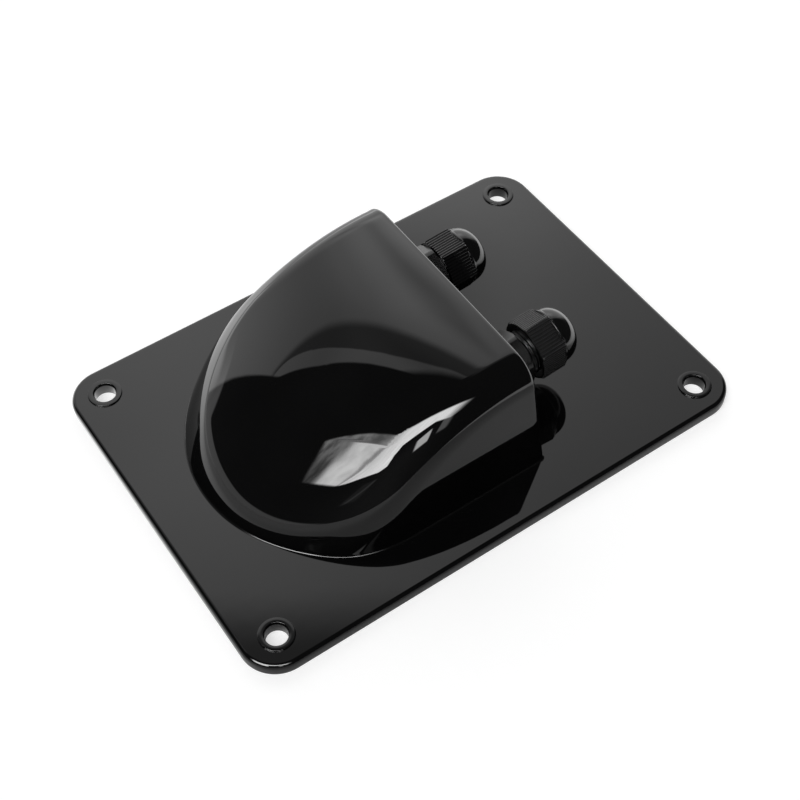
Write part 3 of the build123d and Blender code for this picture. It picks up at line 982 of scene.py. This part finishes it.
# Outline of the wall, the dim strip over it, and the pale horizon at its left
wall_across, wall_up, wall_ahead = flat_view(75, 30)
wall_shape = times(
    wall_ahead,
    slanted(wall_across, wall_up, -1.0, -0.195, -0.861, 0.02),
    ramp(turn, 8.0, 24.0),
)
wall_shape = times(
    wall_shape,
    slanted(east, north, 0.0, 1.0, 0.447, 0.03),
    slanted(east, north, 1.148, 1.0, 0.226, 0.025),
    slanted(east, north, 0.81, 1.0, 0.363, 0.02),
)
over_wall = times(
    slanted(east, north, 0.0, -1.0, -0.447, 0.02),
    slanted(east, north, 0.0, 1.0, 0.36, 0.08),
    ramp(east, 0.1, 0.25),
    0.22,
)
horizon = times(ramp(turn, 112.0, 119.0), ramp(turn, 205.0, 216.0, 1.0, 0.0))
under_line = ramp(solve("MULTIPLY_ADD", turn, 0.115, rise), 24.0, 25.5, 1.0, 0.0)
horizon = times(horizon, under_line, 0.76)
low_gap = times(
    ramp(turn, 94.0, 99.0),
    ramp(turn, 113.0, 118.0, 1.0, 0.0),
    ramp(rise, 5.0, 8.0, 1.0, 0.0),
    1.3,
)
horizon = plus(horizon, low_gap)

# Outline of the large soft lamp, less what the camera and its stand cover
across, upward, ahead_of = flat_view(212, 52)
lit = times(
    ahead_of,
    slanted(across, upward, 1.0, 0.255, -0.527, 0.015),
    slanted(across, upward, 1.0, -0.65, -0.66, 0.02),
    slanted(across, upward, 0.0, -1.0, -0.365, 0.05),
)
lit = times(
    lit,
    slanted(across, upward, 0.18, 1.0, -0.258, 0.02),
    slanted(across, upward, -0.59, 1.0, -0.255, 0.03),
    ramp(across, 0.35, 0.76, 1.0, 0.0),
)
cover = times(
    slanted(across, upward, 1.0, 0.384, -0.002, 0.02),
    slanted(across, upward, 0.415, -1.0, -0.06, 0.03),
    slanted(across, upward, -0.21, -1.0, -0.238, 0.03),
)
lit = times(lit, solve("SUBTRACT", 1.0, cover))

# Cloth of the lamp: a duller hem at its left, a crease beside it, and soft folds along both
hem_place, crease_place, fold_size, fold_stretch = 0.468, 0.044, 170.0, 9.0
from_hem = solve("MULTIPLY_ADD", upward, 0.12, plus(across, hem_place))
from_hem = solve("SUBTRACT", from_hem, ramp(upward, 0.165, 0.2, 0.0, 0.05))
spread = studio.nodes.new("ShaderNodeCombineXYZ")
studio.links.new(times(from_hem, fold_stretch), spread.inputs[0])
studio.links.new(upward, spread.inputs[1])
folds = noise(studio, spread.outputs[0], fold_size, detail=3.0, roughness=0.6)
hem = times(ramp(upward, -0.16, 0.3, 0.95, 3.0), ramp(folds, 0.35, 0.65, 0.5, 1.4))
off_crease = solve("ABSOLUTE", solve("SUBTRACT", from_hem, crease_place))
sheet = times(
    ramp(from_hem, -0.01, 0.16, 11.2, 14.4),
    ramp(from_hem, 0.16, 0.4, 1.0, 1.12),
    ramp(folds, 0.3, 0.7, 0.82, 1.12),
    ramp(off_crease, 0.001, 0.005, 0.45, 1.0),
)
on_hem = ramp(from_hem, -0.016, 0.012, 1.0, 0.0)
lamp = times(lit, plus(times(hem, on_hem), times(sheet, solve("SUBTRACT", 1.0, on_hem))))

# Small lights beside the lamp, the camera's stand, and the faint near side of the room
gap = times(
    ahead_of,
    slanted(across, upward, 0.728, -0.686, 0.25, 0.03),
    slanted(across, upward, -0.728, 0.686, -0.7, 0.03),
    slanted(across, upward, 0.686, 0.728, 0.185, 0.03),
    slanted(across, upward, -0.686, -0.728, -0.312, 0.02),
    ramp(rise, 34.0, 37.0),
    8.0,
)
rim_light = times(
    ahead_of,
    slanted(across, upward, 1.0, 0.9, 0.585, 0.03),
    slanted(across, upward, -1.0, -0.9, -0.75, 0.1),
    slanted(across, upward, 0.0, 1.0, -0.1, 0.06),
    slanted(across, upward, 0.0, -1.0, -0.14, 0.06),
    1.5,
)
stand = times(
    ahead_of,
    ramp(across, -0.05, -0.03),
    ramp(across, 0.1, 0.14, 1.0, 0.0),
    ramp(upward, -0.8, -0.7),
    ramp(upward, -0.42, -0.38, 1.0, 0.0),
)
stand_edge = hump(solve("MULTIPLY_ADD", upward, -0.3, across), 0.226, 0.02)
stand = times(stand, solve("MULTIPLY_ADD", stand_edge, 0.4, 0.12))
near_side = times(hump(turn, 234.0, 24.0), ramp(rise, 35.0, 60.0, 1.0, 0.0), 0.07)

# All of it together; the lamps light the scene less than they show in gloss
dark_room, outside_gloss = 0.042, 0.4
ray = studio.nodes.new("ShaderNodeLightPath")
dim = plus(plus(dark_room, near_side), plus(stand, over_wall))
bright = plus(lamp, plus(gap, rim_light))
in_gloss = ray.outputs["Is Glossy Ray"]
shown = solve("MULTIPLY_ADD", in_gloss, 1 - outside_gloss, outside_gloss)
behind = plus(times(wall_light, wall_shape), horizon)
total = plus(plus(dim, times(bright, shown)), behind)
white = solve("MAXIMUM", ray.outputs["Is Camera Ray"], ray.outputs["Is Transmission Ray"])
total = plus(times(total, solve("SUBTRACT", 1.0, white)), white)
back = studio.nodes["Background"]
back.inputs["Color"].default_value = (1, 1, 1, 1)
studio.links.new(total, back.inputs["Strength"])
bpy.context.scene.view_settings.view_transform = "Standard"


# Camera at the photograph's viewpoint: it looks ahead from a distance in mm to the origin, and
# stands a little to the left and low of that line.
look = bpy.data.cameras.new("view")
look.lens, look.sensor_width, look.clip_start = 63.903, 36.0, 0.01
viewer = bpy.data.objects.new("view", look)
yaw, pitch, roll = math.radians(34.248), math.radians(52.762), math.radians(-0.385)
distance, to_left, to_low = 511.11, 0.0486, 1.0051
ahead = [math.sin(yaw) * math.cos(pitch), math.cos(yaw) * math.cos(pitch), -math.sin(pitch)]
ahead = np.array(ahead)
level = np.array([math.cos(yaw), -math.sin(yaw), 0.0])
above = np.cross(level, ahead)
to_right = math.cos(roll) * level + math.sin(roll) * above
to_top = -math.sin(roll) * level + math.cos(roll) * above
eye = (-ahead * distance - to_left * to_right - to_low * to_top) / 1000
viewer.matrix_world = Matrix([*zip(to_right, to_top, -ahead, eye), (0, 0, 0, 1)])
bpy.context.scene.collection.objects.link(viewer)
bpy.context.scene.camera = viewer
